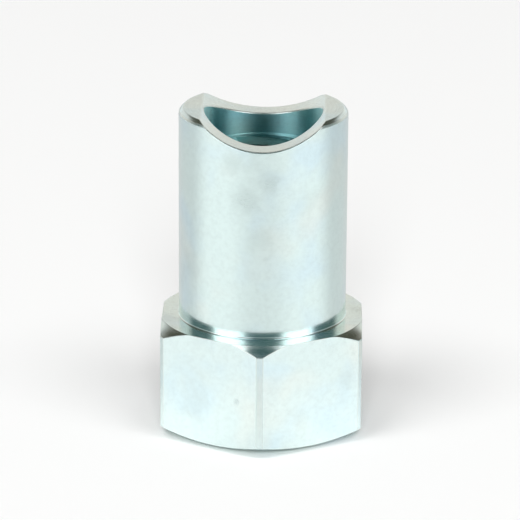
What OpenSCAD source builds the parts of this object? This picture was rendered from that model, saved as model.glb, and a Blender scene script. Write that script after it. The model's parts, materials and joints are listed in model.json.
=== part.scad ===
// Adjusting nut with a saddle seat, turned in one piece from hexagonal bar: a
// hexagon, a plain round sleeve, and a groove across the sleeve's end that seats
// on a round cross pin. Millimetres. Z = 0 is the hexagon's foot and +Z runs
// towards the saddle. The groove runs along Y, and a corner points along -Y.

/* [Hexagon] */
// Width across the flats
hex_af = 14; // [13:0.5:19]
// Height of the hexagon
hex_h = 8.1; // [5:0.1:14]
// How far the bar's blunted corners fall short of sharp ones
corner_cut = 0.13; // [0.05:0.01:0.3]
// How far outside the flats the corners' chamfer under the sleeve begins
top_chamfer_over = 0.2; // [0.1:0.05:0.55]
// Slope of the corners' chamfer under the sleeve, from the hexagon's top face
top_chamfer_angle = 40; // [30:1:60]
// How far inside the flats the chamfer round the foot begins
foot_chamfer_inset = 0.1; // [0.05:0.05:0.3]
// Slope of the chamfer round the foot, from the foot's plane
foot_chamfer_angle = 22; // [15:1:45]

/* [Sleeve] */
// Outer diameter of the sleeve
sleeve_d = 11.7; // [10.5:0.1:12.5]
// Height from the foot to the flat tops beside the groove
total_h = 23; // [20:0.5:40]
// Width of the small chamfer round the sleeve's end
end_chamfer = 0.3; // [0.1:0.05:0.5]
// Radius of the fillet where the sleeve meets the hexagon
root_fillet = 0.3; // [0.1:0.05:0.5]

/* [Saddle] */
// Radius of the groove that seats on the cross pin
saddle_r = 6.5; // [5.5:0.1:8]
// Depth of the groove, from the flat tops to its lowest line
saddle_depth = 1.6; // [1:0.1:2]

/* [Thread] */
// Nominal diameter of the thread
thread_d = 8; // [6:1:8]
// Pitch of the thread
thread_pitch = 1.25; // [0.75:0.25:1.25]
// Width of the countersink at the foot, beyond the thread's nominal radius
lead_over = 0.3; // [0.1:0.1:0.6]

/* [Relief] */
// Diameter of the plain relief below the saddle, where the rod passes clear
relief_d = 8.2; // [8.1:0.1:9]
// Depth of the relief, from the flat tops to the ledge
relief_depth = 3; // [2.5:0.1:8]
// Included angle of the ledge that the step drill leaves
drill_angle = 118; // [90:1:140]

/* [Hidden] */
$fn = 96;
// Room by which a cutting tool runs past the face that it cuts
tool_over = 1;
// Nominal less minor diameter of a metric thread, as a share of its pitch
minor_share = 1.0825;
flat_r = hex_af / 2;
sharp_r = flat_r / cos(30);
corner_r = sharp_r - corner_cut;
top_chamfer_r = flat_r + top_chamfer_over;
top_drop = (corner_r - top_chamfer_r) * tan(top_chamfer_angle);
foot_chamfer_r = flat_r - foot_chamfer_inset;
foot_drop = (corner_r - foot_chamfer_r) * tan(foot_chamfer_angle);
sleeve_r = sleeve_d / 2;
relief_r = relief_d / 2;
relief_z = total_h - relief_depth;
minor_r = (thread_d - minor_share * thread_pitch) / 2;
lead_r = thread_d / 2 + lead_over;

// Hexagonal bar with blunted corners, chamfered at both ends
module hexagon() {
    intersection() {
        linear_extrude(hex_h)
            rotate(30)
                circle(r = sharp_r, $fn = 6);
        rotate_extrude()
            polygon([
                [0, 0],
                [foot_chamfer_r, 0],
                [corner_r, foot_drop],
                [corner_r, hex_h - top_drop],
                [top_chamfer_r, hex_h],
                [0, hex_h]
            ]);
    }
}

// Round sleeve with a small chamfer at its end, standing on the foot's plane
module sleeve() {
    rotate_extrude()
        polygon([
            [0, 0],
            [sleeve_r, 0],
            [sleeve_r, total_h - end_chamfer],
            [sleeve_r - end_chamfer, total_h],
            [0, total_h]
        ]);
}

// Hollow fillet between the sleeve and the hexagon's top
module sleeve_root() {
    rotate_extrude()
        difference() {
            translate([sleeve_r - tool_over, hex_h - tool_over])
                square(root_fillet + tool_over);
            translate([sleeve_r + root_fillet, hex_h + root_fillet])
                circle(r = root_fillet);
        }
}

// Groove that a round cutter leaves across the sleeve's end
module saddle_cut() {
    translate([0, 0, total_h - saddle_depth + saddle_r])
        rotate([90, 0, 0])
            cylinder(r = saddle_r, h = sleeve_d + 2 * tool_over, center = true);
}

// Countersink at the foot, tapped hole at its minor diameter, ledge and relief
module bore_cut() {
    ledge_drop = (relief_r - minor_r) / tan(drill_angle / 2);
    rotate_extrude()
        polygon([
            [0, -tool_over],
            [lead_r + tool_over, -tool_over],
            [minor_r, lead_r - minor_r],
            [minor_r, relief_z - ledge_drop],
            [relief_r, relief_z],
            [relief_r, total_h + tool_over],
            [0, total_h + tool_over]
        ]);
}

module saddle_nut() {
    color([0.84, 0.9, 0.9])
        difference() {
            union() {
                hexagon();
                sleeve();
                sleeve_root();
            }
            saddle_cut();
            bore_cut();
        }
}

saddle_nut();
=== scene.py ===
"""Saddle nut: bright zinc plate over turned, drawn and milled steel, on a pale floor."""

import json
import math

import bpy
from mathutils import Matrix, Quaternion, Vector


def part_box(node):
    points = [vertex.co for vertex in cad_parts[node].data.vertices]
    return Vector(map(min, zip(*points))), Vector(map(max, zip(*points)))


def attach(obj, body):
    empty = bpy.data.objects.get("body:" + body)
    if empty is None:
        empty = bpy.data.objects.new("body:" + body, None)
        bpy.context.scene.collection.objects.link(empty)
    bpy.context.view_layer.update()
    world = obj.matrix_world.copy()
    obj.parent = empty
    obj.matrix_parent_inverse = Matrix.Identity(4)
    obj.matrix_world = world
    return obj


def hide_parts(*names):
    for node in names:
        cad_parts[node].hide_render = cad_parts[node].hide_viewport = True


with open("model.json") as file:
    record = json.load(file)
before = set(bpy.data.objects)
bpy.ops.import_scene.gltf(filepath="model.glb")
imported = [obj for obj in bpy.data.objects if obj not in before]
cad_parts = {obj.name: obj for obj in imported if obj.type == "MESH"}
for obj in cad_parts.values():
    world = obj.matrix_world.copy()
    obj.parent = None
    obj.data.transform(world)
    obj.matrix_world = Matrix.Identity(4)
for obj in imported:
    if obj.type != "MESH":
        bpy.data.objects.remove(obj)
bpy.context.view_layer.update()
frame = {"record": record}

# The nut is modelled in millimetres and brought to metres when it is finished
MM = 0.001
mounts = {mount["name"]: mount for mount in frame["record"]["mounts"]}
box_low, box_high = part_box("saddle_nut")

# Sizes that the frame gives
HEX_AF = round((box_high.x - box_low.x) / MM, 3)
TOTAL_H = round(box_high.z / MM, 3)
MINOR_R = mounts["rod_thread"]["dims"]["r_mm"]
RELIEF_R = mounts["rod_relief"]["dims"]["r_mm"]
SADDLE_R = mounts["pin_saddle"]["dims"]["r_mm"]
SADDLE_LOW = mounts["pin_saddle"]["pos_m"][2] / MM

# Sizes that the solid has beside them
HEX_H = 8.1
CORNER_CUT = 0.13
TOP_CHAMFER_OVER = 0.2
TOP_SLOPE = math.radians(40)
SLEEVE_R = 5.85
END_CHAMFER = 0.3
THREAD_R = 4.0
THREAD_PITCH = 1.25
LEAD_OVER = 0.3
RELIEF_DEPTH = 3.0
LEDGE_HALF_ANGLE = math.radians(59)
THREAD_HALF_ANGLE = math.radians(30)

# The foot's chamfer and the sleeve's root, where more metal is gone than from the solid
FOOT_CHAMFER_INSET = 0.85
FOOT_SLOPE = math.radians(25)
ROOT_FILLET = 0.12

# Sizes that follow from the ones above
FLAT_R = HEX_AF / 2
CORNER_R = FLAT_R / math.cos(math.radians(30)) - CORNER_CUT
TOP_CHAMFER_R = FLAT_R + TOP_CHAMFER_OVER
TOP_DROP = (CORNER_R - TOP_CHAMFER_R) * math.tan(TOP_SLOPE)
FOOT_CHAMFER_R = FLAT_R - FOOT_CHAMFER_INSET
FOOT_DROP = (CORNER_R - FOOT_CHAMFER_R) * math.tan(FOOT_SLOPE)
LEAD_R = THREAD_R + LEAD_OVER
LEAD_TOP = LEAD_R - MINOR_R
RELIEF_Z = TOTAL_H - RELIEF_DEPTH
LEDGE_LOW = RELIEF_Z - (RELIEF_R - MINOR_R) / math.tan(LEDGE_HALF_ANGLE)
SADDLE_AXIS_Z = SADDLE_LOW + SADDLE_R
FLAT_TURNS = [i * math.tau / 6 for i in range(6)]

# Where the faces of the nut's end begin, a little below the groove
END_BASE = SADDLE_LOW - 0.6

# How far the edges are broken
FLAT_BREAK = 0.04
END_BREAK = 0.1
FOOT_BREAK = 0.12
TOP_BREAK = 0.08
LEAD_BREAK = 0.06
RIDGE_EASE = 0.08

# Fineness of the mesh
SIDES = 360
ARC_STEPS = 4
END_RINGS = 30
THREAD_STEPS = 90
BREAK_STEPS = 3

# Angles from which an edge is broken, an edge is shaded sharp, and a bent face is parted
SHARP = math.radians(24)
SMOOTH = math.radians(30)
PLANE = math.radians(2)

# How far tools run past what they cut
TOOL_OVER = 1.0
THREAD_OVER = 0.1
TURNS_OVER = 3

# What counts as touching, as close to where a chamfer runs out, and as facing up
CUT_TOUCH = 1e-5
POINT_TOUCH = 1e-4
MESH_TOUCH = 2e-3
TOUCH = 1e-3
CHAMFER_TOUCH = 0.03
RUN_OUT = 0.06
FACING_UP = 0.3


def select_only(piece):
    """Makes one piece the selected and active one"""
    bpy.ops.object.select_all(action="DESELECT")
    piece.select_set(True)
    bpy.context.view_layer.objects.active = piece


def drawn_profile(name, points):
    """A chain of edges in the XZ plane through (radius, height) points"""
    bpy.ops.object.select_all(action="DESELECT")
    bpy.ops.mesh.primitive_plane_add(size=1, location=(0, 0, 0))
    piece = bpy.context.object
    piece.name = name
    piece.data.name = name
    bpy.ops.object.mode_set(mode="EDIT")
    bpy.ops.mesh.select_all(action="SELECT")
    bpy.ops.mesh.merge(type="CENTER")
    start = points[0]
    bpy.ops.transform.translate(value=(start[0], 0, start[1]))
    for here, there in zip(points, points[1:]):
        step = (there[0] - here[0], 0, there[1] - here[1])
        bpy.ops.mesh.extrude_region_move(TRANSFORM_OT_translate={"value": step})
    bpy.ops.object.mode_set(mode="OBJECT")
    return piece


def close_up(merge=POINT_TOUCH):
    """Merges what touches and turns every face outwards, in edit mode"""
    bpy.ops.mesh.select_all(action="SELECT")
    bpy.ops.mesh.remove_doubles(threshold=merge)
    bpy.ops.mesh.normals_make_consistent(inside=False)


def trim(place, facing):
    """Cuts off what lies beyond a plane and fills the cut, in edit mode"""
    bpy.ops.mesh.select_all(action="SELECT")
    bpy.ops.mesh.bisect(
        plane_co=place, plane_no=facing, use_fill=True, clear_outer=True, threshold=CUT_TOUCH,
    )


def rounded(corners):
    """Points of a closed profile, from corners given as (radius, height, rounding)"""
    points = []
    for i, (radius, height, rounding) in enumerate(corners):
        here = Vector((radius, height))
        if not rounding:
            points.append((radius, height))
            continue
        back = (Vector(corners[i - 1][:2]) - here).normalized()
        ahead = (Vector(corners[(i + 1) % len(corners)][:2]) - here).normalized()
        half = back.angle(ahead) / 2
        centre = here + (back + ahead).normalized() * rounding / math.sin(half)
        start = here + back * rounding / math.tan(half) - centre
        end = here + ahead * rounding / math.tan(half) - centre
        turn = start.angle_signed(end)
        for step in range(ARC_STEPS + 1):
            spoke = start.copy()
            spoke.rotate(Matrix.Rotation(-turn * step / ARC_STEPS, 2))
            points.append(tuple(centre + spoke))
    return points


def end_radii():
    """Radii of the rings on the nut's end, close together at its two edges"""
    wide = SLEEVE_R - RELIEF_R - 2 * END_BREAK
    edge = [END_BREAK * (1 - math.cos(math.pi / 2 * i / ARC_STEPS)) for i in range(ARC_STEPS)]
    rings = [RELIEF_R + r for r in edge]
    rings += [RELIEF_R + END_BREAK + wide * i / END_RINGS for i in range(END_RINGS + 1)]
    rings += [SLEEVE_R - r for r in reversed(edge)]
    return rings


def eased_min(first, second):
    """The lower of two heights, with the ridge between them rounded off"""
    near = max(RIDGE_EASE - abs(first - second), 0)
    return min(first, second) - near * near / (4 * RIDGE_EASE)


def end_height(across, radius):
    """Height of the nut's end, from the groove, the flat tops and the small chamfer"""
    groove = SADDLE_AXIS_Z - math.sqrt(SADDLE_R ** 2 - across ** 2)
    chamfer = TOTAL_H - radius + SLEEVE_R - END_CHAMFER
    height = eased_min(eased_min(TOTAL_H, groove), chamfer)
    for inset in (radius - RELIEF_R, SLEEVE_R - radius):
        over = max(END_BREAK - inset, 0)
        height -= END_BREAK - math.sqrt(END_BREAK ** 2 - min(over, END_BREAK) ** 2)
    return height


def turned_blank():
    """Outside and bore of the nut as the lathe leaves them, from one closed profile"""
    corners = [
        (LEAD_R, 0, LEAD_BREAK),
        (FOOT_CHAMFER_R, 0, FOOT_BREAK),
        (CORNER_R, FOOT_DROP, 0),
        (CORNER_R, HEX_H - TOP_DROP, 0),
        (TOP_CHAMFER_R, HEX_H, TOP_BREAK),
        (SLEEVE_R, HEX_H, ROOT_FILLET),
        (SLEEVE_R, END_BASE, 0),
        *((radius, TOTAL_H, 0) for radius in reversed(end_radii())),
        (RELIEF_R, END_BASE, 0),
        (RELIEF_R, RELIEF_Z, 0),
        (MINOR_R, LEDGE_LOW, 0),
        (MINOR_R, LEAD_TOP, 0),
    ]
    points = rounded(corners)
    piece = drawn_profile("saddle_nut_body", points + points[:1])
    bpy.ops.object.mode_set(mode="EDIT")
    bpy.ops.mesh.select_all(action="SELECT")
    bpy.ops.mesh.spin(steps=SIDES, angle=math.tau, center=(0, 0, 0), axis=(0, 0, 1))
    close_up()
    bpy.ops.object.mode_set(mode="OBJECT")
    return piece


def groove_end(piece):
    """Lowers the rings of the end to the groove, the flat tops and the small chamfer"""
    for vertex in piece.data.vertices:
        if vertex.co.z > TOTAL_H - TOUCH:
            radius = min(max(vertex.co.xy.length, RELIEF_R), SLEEVE_R)
            vertex.co.z = end_height(vertex.co.x, radius)


def cut_flats(piece):
    """Cuts the six flats of the drawn bar, with a corner along -Y"""
    select_only(piece)
    bpy.ops.object.mode_set(mode="EDIT")
    for turn in FLAT_TURNS:
        facing = Vector((math.cos(turn), math.sin(turn), 0))
        trim(facing * FLAT_R, facing)
    close_up()
    bpy.ops.object.mode_set(mode="OBJECT")


def cut_away(piece, cutter):
    """Takes the cutter's solid out of the piece"""
    select_only(piece)
    cut = piece.modifiers.new("cut", "BOOLEAN")
    cut.operation = "DIFFERENCE"
    cut.solver = "EXACT"
    cut.object = cutter
    bpy.ops.object.modifier_apply(modifier=cut.name)
    bpy.data.objects.remove(cutter)


def thread_tap():
    """A tap of the thread's form: one groove's profile run up a helix, ends cut square"""
    root_r = MINOR_R - THREAD_OVER
    depth = THREAD_R - root_r
    flank = depth * math.tan(THREAD_HALF_ANGLE)
    crest = THREAD_PITCH / 8
    bottom = -TURNS_OVER * THREAD_PITCH
    turns = math.ceil((LEDGE_LOW - bottom) / THREAD_PITCH) + TURNS_OVER
    points = [
        (root_r, 0),
        (root_r, THREAD_PITCH - crest - 2 * flank),
        (THREAD_R, THREAD_PITCH - crest - flank),
        (THREAD_R, THREAD_PITCH - flank),
        (root_r, THREAD_PITCH),
    ]
    tap = drawn_profile("thread_tap", [(r, z + bottom) for r, z in points])
    screw = tap.modifiers.new("turns", "SCREW")
    screw.screw_offset = THREAD_PITCH
    screw.iterations = turns
    screw.steps = THREAD_STEPS
    screw.render_steps = THREAD_STEPS
    screw.use_merge_vertices = True
    screw.merge_threshold = POINT_TOUCH
    select_only(tap)
    bpy.ops.object.modifier_apply(modifier=screw.name)
    bpy.ops.object.mode_set(mode="EDIT")
    close_up()
    for height, way in ((-TOOL_OVER, -1), (RELIEF_Z + TOOL_OVER, 1)):
        trim((0, 0, height), (0, 0, way))
    close_up()
    bpy.ops.object.mode_set(mode="OBJECT")
    return tap


def near_run_out(point, reach):
    """True close to where the corners' chamfer under the sleeve begins"""
    return point.z > HEX_H - reach and abs(point.xy.length - TOP_CHAMFER_R) < reach


def on_hexagon(point):
    """True on a flat or blunted corner, but not where the chamfer runs out on a flat"""
    if near_run_out(point, RUN_OUT):
        return False
    reach = max(point.x * math.cos(turn) + point.y * math.sin(turn) for turn in FLAT_TURNS)
    return abs(reach - FLAT_R) < TOUCH or point.xy.length > CORNER_R - TOUCH


def break_edges(piece, wanted, width, slot):
    """Rounds the sharp edges whose two ends are wanted, and gives the rounding a slot"""
    select_only(piece)
    bpy.ops.object.mode_set(mode="EDIT")
    bpy.ops.mesh.select_mode(type="EDGE")
    bpy.ops.mesh.select_all(action="DESELECT")
    bpy.ops.mesh.edges_select_sharp(sharpness=SHARP)
    bpy.ops.object.mode_set(mode="OBJECT")
    points = piece.data.vertices
    sharp = [edge for edge in piece.data.edges if edge.select]
    chosen = [e.index for e in sharp if all(wanted(points[end].co) for end in e.vertices)]
    bpy.ops.object.mode_set(mode="EDIT")
    bpy.ops.mesh.select_all(action="DESELECT")
    bpy.ops.object.mode_set(mode="OBJECT")
    for index in chosen:
        piece.data.edges[index].select = True
    bpy.ops.object.mode_set(mode="EDIT")
    bpy.ops.mesh.bevel(
        offset=width, offset_type="OFFSET", segments=BREAK_STEPS, affect="EDGES",
        clamp_overlap=False, material=slot,
    )
    bpy.ops.object.mode_set(mode="OBJECT")


def part_bent_faces(piece):
    """Splits the faces that a broken edge ends in, so that their parts are plane"""
    select_only(piece)
    bpy.ops.object.mode_set(mode="EDIT")
    bpy.ops.mesh.select_mode(type="FACE")
    bpy.ops.mesh.select_all(action="DESELECT")
    bpy.ops.mesh.select_face_by_sides(number=4, type="GREATER")
    bpy.ops.mesh.vert_connect_nonplanar(angle_limit=PLANE)
    bpy.ops.object.mode_set(mode="OBJECT")


def part_run_outs(piece):
    """Marks the broken edges' rims sharp where these end, so that no face bends there"""
    select_only(piece)
    piece.active_material_index = RUBBED
    bpy.ops.object.mode_set(mode="EDIT")
    bpy.ops.mesh.select_mode(type="FACE")
    bpy.ops.mesh.select_all(action="DESELECT")
    bpy.ops.object.material_slot_select()
    bpy.ops.mesh.region_to_loop()
    bpy.ops.object.mode_set(mode="OBJECT")
    points = piece.data.vertices
    for edge in piece.data.edges:
        ends = [points[end].co for end in edge.vertices]
        if edge.select and all(near_run_out(end, 3 * RUN_OUT) for end in ends):
            edge.use_edge_sharp = True


def on_end_chamfer(place):
    """True on the small chamfer round the nut's end"""
    inset = SLEEVE_R - place.xy.length
    return inset < END_CHAMFER and abs(place.z - TOTAL_H - inset + END_CHAMFER) < CHAMFER_TOUCH


def finish_of(face):
    """Number of the finish that the tool left on a face, by its place and direction"""
    place = face.center
    radius = place.xy.length
    if place.z > END_BASE and abs(face.normal.z) > FACING_UP and radius > RELIEF_R:
        edge = min(radius - RELIEF_R, SLEEVE_R - radius)
        if edge < END_BREAK:
            return RUBBED
        return TURNED if on_end_chamfer(place) else MILLED
    if radius < RELIEF_R + TOUCH:
        return BORED if place.z > LEDGE_LOW else TAPPED
    if abs(face.normal.z) < TOUCH and place.z < HEX_H:
        return DRAWN
    return TURNED


def saddle_nut(finishes):
    """The whole nut: turned, grooved, cut to a hexagon, tapped, broken at its edges"""
    piece = turned_blank()
    groove_end(piece)
    cut_flats(piece)
    cut_away(piece, thread_tap())
    select_only(piece)
    bpy.ops.object.mode_set(mode="EDIT")
    close_up(MESH_TOUCH)
    bpy.ops.object.mode_set(mode="OBJECT")
    piece.data.materials.clear()
    for finish in finishes:
        piece.data.materials.append(finish)
    for face in piece.data.polygons:
        face.material_index = finish_of(face)
    break_edges(piece, on_hexagon, FLAT_BREAK, RUBBED)
    part_bent_faces(piece)
    part_run_outs(piece)
    select_only(piece)
    weigh = piece.modifiers.new("normals", "WEIGHTED_NORMAL")
    weigh.weight = 100
    weigh.keep_sharp = True
    bpy.ops.object.shade_smooth_by_angle(angle=SMOOTH)
    bpy.ops.object.modifier_apply(modifier=weigh.name)
    piece.scale = (MM, MM, MM)
    bpy.ops.object.transform_apply(location=False, rotation=False, scale=True)
    return piece


class Tree:
    """A node tree with short ways to add and join its nodes"""

    def __init__(self, tree):
        self.tree = tree

    def add(self, kind, **values):
        node = self.tree.nodes.new(kind)
        for name, value in values.items():
            setattr(node, name, value)
        return node

    def join(self, start, end):
        self.tree.links.new(start, end)

    def feed(self, node, **inputs):
        """Sets or links a node's inputs by name or number, and gives back the node"""
        for name, value in inputs.items():
            key = int(name[1:]) if name[0] == "_" else name.replace("_", " ")
            socket = node.inputs[key]
            if isinstance(value, bpy.types.NodeSocket):
                self.join(value, socket)
            else:
                socket.default_value = value
        return node

    def math(self, operation, *terms):
        node = self.add("ShaderNodeMath", operation=operation)
        for i, term in enumerate(terms):
            self.feed(node, **{f"_{i}": term})
        return node.outputs[0]

    def vector(self, operation, *terms, scale=None):
        node = self.add("ShaderNodeVectorMath", operation=operation)
        for i, term in enumerate(terms):
            self.feed(node, **{f"_{i}": term})
        if scale is not None:
            self.feed(node, Scale=scale)
        return node.outputs["Value" if operation in ("LENGTH", "DISTANCE") else "Vector"]

    def mix(self, share, first, second):
        node = self.add("ShaderNodeMix", data_type="RGBA")
        self.feed(node, _0=share, _6=first, _7=second)
        return node.outputs[2]

    def step(self, value, low, high, to_low=0.0, to_high=1.0):
        """A smooth rise from to_low at low to to_high at high"""
        node = self.add("ShaderNodeMapRange", interpolation_type="SMOOTHSTEP")
        self.feed(node, Value=value, From_Min=low, From_Max=high, To_Min=to_low, To_Max=to_high)
        return node.outputs["Result"]

    def rise(self, angle, low, high, to_low=0.0, to_high=1.0):
        """The same for an angle, with its limits in degrees"""
        return self.step(angle, math.radians(low), math.radians(high), to_low, to_high)

    def noise(self, vector, scale, detail=3.0, roughness=0.5):
        node = self.add("ShaderNodeTexNoise")
        self.feed(node, Vector=vector, Scale=scale, Detail=detail, Roughness=roughness)
        return node.outputs["Fac"]


def new_group(name, inputs, outputs):
    """An empty node group with named sockets, and its tree, inputs and outputs"""
    kinds = {"f": "NodeSocketFloat", "v": "NodeSocketVector", "c": "NodeSocketColor"}
    group = bpy.data.node_groups.new(name, "ShaderNodeTree")
    for label, (kind, value) in inputs.items():
        socket = group.interface.new_socket(label, in_out="INPUT", socket_type=kinds[kind])
        if value is not None:
            socket.default_value = value
    for label, kind in outputs.items():
        group.interface.new_socket(label, in_out="OUTPUT", socket_type=kinds[kind])
    tree = Tree(group)
    taken = tree.add("NodeGroupInput").outputs
    given = tree.add("NodeGroupOutput").inputs
    return group, tree, taken, given


def plate_colour_group():
    """Faint colours of the blue passivation: patches of two tints and a fine mottle"""
    group, tree, taken, given = new_group(
        "plate_colour",
        {"Place": ("v", None), "Plate": ("c", None), "Cool": ("c", None), "Warm": ("c", None)},
        {"Colour": "c", "Grain": "f"},
    )
    cool = tree.noise(taken["Place"], 260, detail=2, roughness=0.45)
    moved = tree.vector("ADD", taken["Place"], (0.05, 0.02, 0.07))
    warm = tree.noise(moved, 190, detail=2, roughness=0.45)
    colour = tree.mix(tree.step(cool, 0.45, 0.72), taken["Plate"], taken["Cool"])
    colour = tree.mix(tree.step(warm, 0.48, 0.75), colour, taken["Warm"])
    grain = tree.noise(taken["Place"], 3200, detail=4, roughness=0.65)
    dull = tree.step(grain, 0.35, 0.75, 1.0, 0.93)
    tree.join(tree.vector("SCALE", colour, scale=dull), given["Colour"])
    tree.join(grain, given["Grain"])
    return group


def turning_marks_group():
    """Rings that a lathe tool leaves, across both the wall and the faces of a turned part"""
    group, tree, taken, given = new_group(
        "turning_marks",
        {"Place": ("v", None), "Pitch": ("f", 0.00009), "Waver": ("f", 0.3)},
        {"Height": "f"},
    )
    axis = tree.feed(tree.add("ShaderNodeSeparateXYZ"), Vector=taken["Place"])
    radius = tree.vector("LENGTH", tree.vector("MULTIPLY", taken["Place"], (1, 1, 0)))
    along = tree.math("ADD", radius, axis.outputs["Z"])
    loose = tree.noise(taken["Place"], 900, detail=1)
    turns = tree.math("DIVIDE", along, taken["Pitch"])
    turns = tree.math("MULTIPLY_ADD", loose, taken["Waver"], turns)
    wave = tree.math("SINE", tree.math("MULTIPLY", turns, math.tau))
    lines = tree.add("ShaderNodeTexNoise", noise_dimensions="1D")
    tree.feed(lines, W=turns, Scale=0.9, Detail=2.0)
    tree.join(tree.math("MULTIPLY_ADD", wave, 0.18, lines.outputs["Fac"]), given["Height"])
    return group


def drawing_lines_group():
    """Long fine lines along the bar, as a drawing die leaves them"""
    group, tree, taken, given = new_group(
        "drawing_lines", {"Place": ("v", None), "Fineness": ("f", 4000.0)}, {"Height": "f"},
    )
    drawn = tree.vector("MULTIPLY", taken["Place"], (1, 1, 0.02))
    tree.join(tree.noise(drawn, taken["Fineness"], detail=3, roughness=0.6), given["Height"])
    return group


def handling_group():
    """Small dull scuffs and specks, scattered thinly"""
    group, tree, taken, given = new_group("handling", {"Place": ("v", None)}, {"Mask": "f"})
    cells = tree.add("ShaderNodeTexVoronoi")
    tree.feed(cells, Vector=taken["Place"], Scale=330, Randomness=1.0)
    ragged = tree.noise(taken["Place"], 2600, detail=4, roughness=0.7)
    near = tree.math("MULTIPLY_ADD", ragged, 0.3, cells.outputs["Distance"])
    speck = tree.step(near, 0.15, 0.26, 0.35, 0.0)
    cloud = tree.step(tree.noise(taken["Place"], 300, detail=3), 0.55, 0.75, 0.0, 0.4)
    tree.join(tree.math("MAXIMUM", speck, cloud), given["Mask"])
    return group


def smudge_group():
    """One soft smudge or nick of a given size at a given place"""
    group, tree, taken, given = new_group(
        "smudge",
        {"Place": ("v", None), "Centre": ("v", None), "Size": ("f", None)},
        {"Mask": "f"},
    )
    ragged = tree.noise(taken["Place"], 1500, detail=3)
    away = tree.vector("DISTANCE", taken["Place"], taken["Centre"])
    away = tree.math("DIVIDE", away, taken["Size"])
    away = tree.math("MULTIPLY_ADD", ragged, 1.2, away)
    tree.join(tree.step(away, 0.7, 1.7, 1.0, 0.0), given["Mask"])
    return group


groups = {
    "plate_colour": plate_colour_group(),
    "turning_marks": turning_marks_group(),
    "drawing_lines": drawing_lines_group(),
    "handling": handling_group(),
    "smudge": smudge_group(),
}

# How much smoother and rougher than the finish its tool marks are, low and high ones
LOW_MARKS = 0.85
HIGH_MARKS = 1.2

# How much dulled spots darken and roughen the plate, and how deep they and the grain lie
SCUFF_TINT = 0.75
SCUFF_MIX = 0.7
SCUFF_ROUGHNESS = 0.12
SCUFF_DEPTH = -0.15
GRAIN_ROUGHNESS = 0.04
GRAIN_DEPTH = 0.35


def zinc_finish(name, tints, roughness, marks, depth, marked=(), streaked=0.0):
    """A zinc-plated finish: plate colours, one kind of tool marks, scuffs and smudges

    The depth of the marks is in metres. A streaked finish draws out what it mirrors
    along the nut's axis.
    """
    material = bpy.data.materials.new(name)
    material.use_nodes = True
    tree = Tree(material.node_tree)
    shader = material.node_tree.nodes["Principled BSDF"]
    place = tree.add("ShaderNodeTexCoord").outputs["Object"]

    def placed(group, **inputs):
        node = tree.add("ShaderNodeGroup", node_tree=groups[group])
        return tree.feed(node, Place=place, **inputs).outputs

    plate, cool, warm = ((*tint, 1) for tint in tints)
    colours = placed("plate_colour", Plate=plate, Cool=cool, Warm=warm)
    height = placed(marks)["Height"]
    dull = placed("handling")["Mask"]
    for centre, size, strength in marked:
        centre = tuple(part * MM for part in centre)
        spot = placed("smudge", Centre=centre, Size=size * MM)["Mask"]
        dull = tree.math("MAXIMUM", dull, tree.math("MULTIPLY", spot, strength))
    scuffed = tuple(SCUFF_TINT * part for part in tints[0])
    scuff = tree.math("MULTIPLY", dull, SCUFF_MIX)
    colour = tree.mix(scuff, colours["Colour"], (*scuffed, 1))
    rough = tree.step(height, 0.2, 0.8, roughness * LOW_MARKS, roughness * HIGH_MARKS)
    rough = tree.math("MULTIPLY_ADD", dull, SCUFF_ROUGHNESS, rough)
    rough = tree.math("MULTIPLY_ADD", colours["Grain"], GRAIN_ROUGHNESS, rough)
    tree.feed(shader, Base_Color=colour, Roughness=rough, Metallic=1)
    if streaked:
        around = tree.add("ShaderNodeTangent", direction_type="RADIAL", axis="Z").outputs[0]
        tree.feed(shader, Tangent=around, Anisotropic=streaked, Anisotropic_Rotation=0.25)
    relief = tree.math("MULTIPLY_ADD", colours["Grain"], GRAIN_DEPTH, height)
    relief = tree.math("MULTIPLY_ADD", dull, SCUFF_DEPTH, relief)
    bump = tree.feed(tree.add("ShaderNodeBump"), Strength=1.0, Distance=depth, Height=relief)
    tree.feed(shader, Normal=bump.outputs["Normal"])
    return material


# Tints of the plate on the bar, the sleeve, the groove, the bore, the thread and rubbed edges;
# the bore's and the thread's tints hold painted shade
PLATE = (0.82, 0.965, 0.955)
PLATE_COOL = (0.77, 0.94, 0.98)
PLATE_WARM = (0.87, 0.96, 0.92)
SLEEVE_PLATE = (0.79, 0.94, 0.925)
SLEEVE_COOL = (0.735, 0.905, 0.955)
SLEEVE_WARM = (0.835, 0.925, 0.89)
GROOVE_PLATE = (0.75, 0.88, 0.87)
GROOVE_COOL = (0.67, 0.855, 0.9)
GROOVE_WARM = (0.79, 0.87, 0.83)
# Painted shade: the bore's and the thread's plate is darkened and made bluer for the shade and
# the bounced light deep inside the bore
BORE_PLATE_SHADED = (0.42, 0.81, 0.85)
BORE_COOL_SHADED = (0.38, 0.79, 0.88)
BORE_WARM_SHADED = (0.47, 0.82, 0.8)
THREAD_PLATE_SHADED = (0.22, 0.48, 0.49)
THREAD_WARM_SHADED = (0.26, 0.49, 0.47)
RUBBED_PLATE = (0.82, 0.925, 0.905)

# Numbers of the finishes, in the order of the list below
DRAWN, TURNED, MILLED, BORED, TAPPED, RUBBED = range(6)

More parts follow.
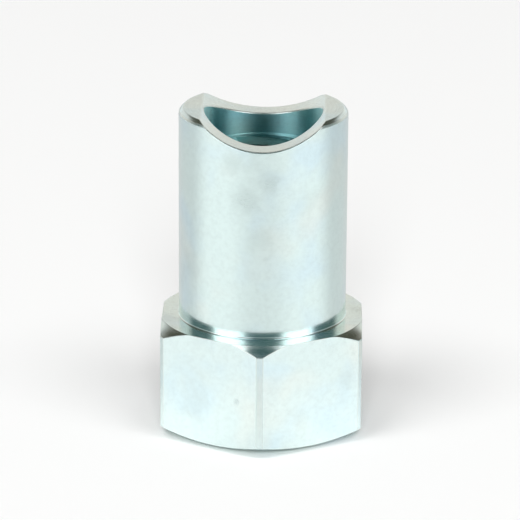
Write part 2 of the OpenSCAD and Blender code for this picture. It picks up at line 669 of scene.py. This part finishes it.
# Smudges on the sleeve and a nick on a flat: place and size in millimetres, strength
SLEEVE_MARKS = (
    ((-2.0, -5.5, 20.5), 1.1, 0.6),
    ((0.5, -5.82, 19.3), 1.0, 0.85),
    ((-1.1, -5.75, 17.9), 1.4, 0.75),
    ((-0.2, -5.85, 15.3), 1.2, 0.45),
)
FLAT_MARKS = (
    ((-1.6, -7.16, 4.0), 0.3, 1.0),
)
plate = (PLATE, PLATE_COOL, PLATE_WARM)
sleeve = (SLEEVE_PLATE, SLEEVE_COOL, SLEEVE_WARM)
groove = (GROOVE_PLATE, GROOVE_COOL, GROOVE_WARM)
bore = (BORE_PLATE_SHADED, BORE_COOL_SHADED, BORE_WARM_SHADED)
thread = (THREAD_PLATE_SHADED, THREAD_PLATE_SHADED, THREAD_WARM_SHADED)
rubbed = (RUBBED_PLATE, RUBBED_PLATE, PLATE)
finishes = [
    zinc_finish("drawn_zinc", plate, 0.17, "drawing_lines", 8e-7, marked=FLAT_MARKS),
    zinc_finish("turned_zinc", sleeve, 0.15, "turning_marks", 4e-7, marked=SLEEVE_MARKS),
    zinc_finish("milled_zinc", groove, 0.2, "turning_marks", 6e-7),
    # The bore's and the thread's finishes carry painted shade in their tints
    zinc_finish("bore_zinc", bore, 0.5, "turning_marks", 6e-7, streaked=0.95),
    zinc_finish("thread_zinc", thread, 0.3, "turning_marks", 1e-6),
    zinc_finish("rubbed_zinc", rubbed, 0.3, "drawing_lines", 1.5e-7),
]

nut = saddle_nut(finishes)
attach(nut, "root")
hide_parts("saddle_nut")


def seen_in_metal(tree):
    """One where the metal mirrors a thing to the camera, and nought elsewhere"""
    path = tree.add("ShaderNodeLightPath")
    direct = tree.math("LESS_THAN", path.outputs["Diffuse Depth"], 0.5)
    return tree.math("MULTIPLY", path.outputs["Is Glossy Ray"], direct)


# The paper's colour, and how bright the metal sees it by turn in degrees and distance: painted
# shade in front and behind, painted light near the nut
PAPER = (0.96, 0.96, 0.955)
PAPER_FRONT_SHADE = (5, 50, 0.84, 1.0)
PAPER_BACK_SHADE = (72, 108, 1.0, 0.72)
PAPER_NEAR_LIGHT = (9 * MM, 24 * MM, 1.12, 1.0)
FLOOR_WIDTH = 4.0


def floor_paper():
    """White paper, with painted light near by and painted shade in front and behind that only
    the metal's reflections show
    """
    paper = bpy.data.materials.new("paper")
    paper.use_nodes = True
    tree = Tree(paper.node_tree)
    sheet = paper.node_tree.nodes["Principled BSDF"]
    place = tree.add("ShaderNodeTexCoord").outputs["Object"]
    spot = tree.feed(tree.add("ShaderNodeSeparateXYZ"), Vector=place)
    side, depth, _ = spot.outputs
    turn = tree.math("ARCTAN2", tree.math("ABSOLUTE", side), tree.math("MULTIPLY", depth, -1))
    # Painted shade in front and behind, and painted light near the nut, only in rays that the
    # metal mirrors
    ends = tree.math("MULTIPLY", tree.rise(turn, *PAPER_FRONT_SHADE), tree.rise(turn, *PAPER_BACK_SHADE))
    near = tree.step(tree.vector("LENGTH", place), *PAPER_NEAR_LIGHT)
    change = tree.math("SUBTRACT", tree.math("MULTIPLY", ends, near), 1.0)
    shown = tree.math("MULTIPLY_ADD", seen_in_metal(tree), change, 1.0)
    colour = tree.vector("SCALE", PAPER, scale=shown)
    tree.feed(sheet, Base_Color=colour, Roughness=0.9, Specular_IOR_Level=0.0)
    return paper


bpy.ops.object.select_all(action="DESELECT")
bpy.ops.mesh.primitive_plane_add(size=FLOOR_WIDTH, location=(0, 0, 0))
floor = bpy.context.object
floor.name = "floor"
floor.data.materials.append(floor_paper())


# Light of the tent: what lights the floor, what is seen behind it, and what the metal shows
WORLD_LEVEL = (0.2, 0.2, 0.198, 1)
SEEN_LEVEL = (1, 1, 1, 1)
HORIZON = (0.9, 0.9, 0.88, 1)
BACKDROP = (0.84, 0.78, 0.72, 1)
PANEL = (1.85, 1.78, 1.78, 1)
GAP = (0.08, 0.13, 0.13, 1)
OVERHEAD = (0.05, 0.1, 0.1, 1)
OVERHEAD_BACK = (0.08, 0.075, 0.055, 1)

# Turns from the front, in degrees, between which the panels and the backdrop begin and end
TENT_MIDDLE = 3
PANEL_INNER = (21, 31)
PANEL_OUTER = (66, 76, 1.0, 0.0)
BACKDROP_START = (112, 130)
OVERHEAD_BACK_START = (95, 120)

# Heights, in degrees, between which the horizon, the walls and the panels give way
HORIZON_END = (2, 12)
WALL_END = (22, 31)
PANEL_END = (79, 85, 1.0, 0.0)

# How far the panels' edges lean outwards per degree of height, from where and over what
INNER_LEAN = 1.1
OUTER_LEAN = 0.6
LEAN_START = 19
LEAN_OVER = 22


def studio_world():
    """White tent as metal shows it: bright low walls, two panels in front, dark overhead"""
    world = bpy.data.worlds.new("studio")
    world.use_nodes = True
    bpy.context.scene.world = world
    tree = Tree(world.node_tree)
    background = world.node_tree.nodes["Background"]
    coordinates = tree.add("ShaderNodeTexCoord").outputs["Generated"]
    way = tree.feed(tree.add("ShaderNodeSeparateXYZ"), Vector=coordinates)
    side, depth, rise = way.outputs
    turn = tree.math("ARCTAN2", side, tree.math("MULTIPLY", depth, -1))
    turn = tree.math("ABSOLUTE", tree.math("SUBTRACT", turn, math.radians(TENT_MIDDLE)))
    height = tree.math("ARCSINE", rise)
    lean = tree.math("SUBTRACT", height, math.radians(LEAN_START))
    inner = tree.math("MINIMUM", lean, math.radians(LEAN_OVER))
    inner = tree.math("MULTIPLY_ADD", inner, -INNER_LEAN, turn)
    outer = tree.math("MULTIPLY_ADD", lean, -OUTER_LEAN, turn)
    panel = tree.math("MULTIPLY", tree.rise(inner, *PANEL_INNER), tree.rise(outer, *PANEL_OUTER))
    panel = tree.math("MULTIPLY", panel, tree.rise(height, *PANEL_END))
    walls = tree.mix(tree.rise(turn, *BACKDROP_START), GAP, BACKDROP)
    above = tree.mix(tree.rise(turn, *OVERHEAD_BACK_START), OVERHEAD, OVERHEAD_BACK)
    tent = tree.mix(tree.rise(height, *WALL_END), walls, above)
    tent = tree.mix(panel, tent, PANEL)
    tent = tree.mix(tree.rise(height, *HORIZON_END), HORIZON, tent)
    shown = tree.mix(seen_in_metal(tree), WORLD_LEVEL, tent)
    direct = tree.add("ShaderNodeLightPath").outputs["Is Camera Ray"]
    shown = tree.mix(direct, shown, SEEN_LEVEL)
    tree.feed(background, Color=shown, Strength=1.0)


studio_world()

# Soft boxes: turn from the front and rise in degrees, width in metres, power in watts
SOFT_BOXES = {
    "left_box": (-45, 59.7, 1.3, 33),
    "right_box": (43.5, 58.5, 1.4, 25),
    "front_box": (1, 28, 0.9, 56),
}
BOX_AWAY = 3.0


def outward(turn, rise):
    """Direction away from the nut, at a turn from its front and a rise above the floor"""
    level = math.cos(rise)
    return Vector((level * math.sin(turn), -level * math.cos(turn), math.sin(rise)))


def soft_box(name, turn, rise, width, power):
    """A square soft box that faces the nut and that the metal doesn't mirror"""
    lamp = bpy.data.lights.new(name, "AREA")
    lamp.size = width
    lamp.energy = power
    box = bpy.data.objects.new(name, lamp)
    bpy.context.scene.collection.objects.link(box)
    box.location = outward(math.radians(turn), math.radians(rise)) * BOX_AWAY
    box.rotation_euler = (-box.location).to_track_quat("-Z", "Y").to_euler()
    box.visible_glossy = False


for name, values in SOFT_BOXES.items():
    soft_box(name, *values)

# The view: turn, rise and roll, distance and aim in millimetres, and its picture in pixels
PICTURE = 520
CAMERA_TURN = math.radians(1.1)
CAMERA_RISE = math.radians(18.5)
CAMERA_ROLL = math.radians(0.37)
CAMERA_AWAY = 220.0
AIM_HEIGHT = 11.0
PIXELS_PER_MM = 14.283
AIM_PIXEL = (262.5, 272.1)
SENSOR_WIDTH = 36

camera_data = bpy.data.cameras.new("camera")
camera = bpy.data.objects.new("camera", camera_data)
bpy.context.scene.collection.objects.link(camera)
aim = Vector((0, 0, AIM_HEIGHT * MM))
way = outward(CAMERA_TURN, CAMERA_RISE)
camera.location = aim + way * CAMERA_AWAY * MM
look = way.to_track_quat("Z", "Y")
camera.rotation_euler = (look @ Quaternion((0, 0, 1), CAMERA_ROLL)).to_euler()
camera_data.sensor_width = SENSOR_WIDTH
camera_data.lens = SENSOR_WIDTH * PIXELS_PER_MM * CAMERA_AWAY / PICTURE
camera_data.shift_x = (PICTURE / 2 - AIM_PIXEL[0]) / PICTURE
camera_data.shift_y = (AIM_PIXEL[1] - PICTURE / 2) / PICTURE
camera_data.clip_start = 0.01
bpy.context.scene.camera = camera
bpy.context.scene.view_settings.view_transform = "Standard"
